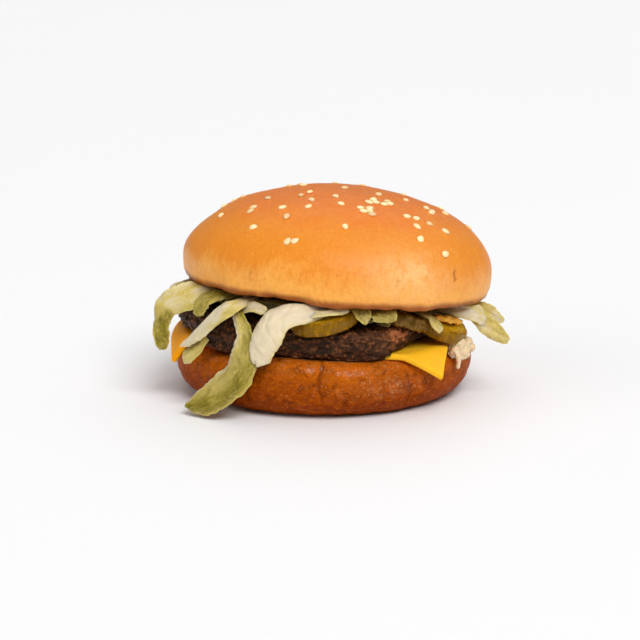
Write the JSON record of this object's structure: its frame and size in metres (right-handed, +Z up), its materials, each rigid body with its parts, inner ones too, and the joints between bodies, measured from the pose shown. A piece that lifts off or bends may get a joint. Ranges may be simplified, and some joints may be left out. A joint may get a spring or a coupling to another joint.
{
  "type": "cheeseburger",
  "caption": "Cheeseburger with a seeded bun crown, shredded lettuce, pickle chips, a ground beef patty, cheese slices and a toasted heel.",
  "frame": {"origin": "middle of the flat foot of the heel, on the surface that the burger stands on", "axes": "+Z up, -Y towards the side that shows the most filling, +X to that side's right"},
  "size_m": [0.1297, 0.1187, 0.076],
  "materials": {
    "bun_crust": "glossy golden brown baked crust, redder on top and pale gold towards its lower edge, with cream sesame seeds",
    "bun_heel_crust": "glossy red-brown baked crust with fine wrinkles",
    "cheese": "smooth processed cheese, bright yellow-orange",
    "beef": "coarse browned ground beef with small moist highlights",
    "pickle": "wet olive green, darker at the rind",
    "lettuce": "moist pale green to white leaf",
    "sauce": "glossy cream-coloured sauce"
  },
  "bodies": {
    "root": {"bun_crown": "bun_crust", "bun_heel": "bun_heel_crust", "cheese_slice_right": "cheese", "cheese_slice_left": "cheese", "beef_patty": "beef", "pickle_front": "pickle", "pickle_middle": "pickle", "pickle_right": "pickle", "pickle_left": "pickle", "pickle_back_right": "pickle", "pickle_back_left": "pickle", "sauce_dollop": "sauce", "shredded_lettuce": "lettuce"}
  },
  "joints": []
}
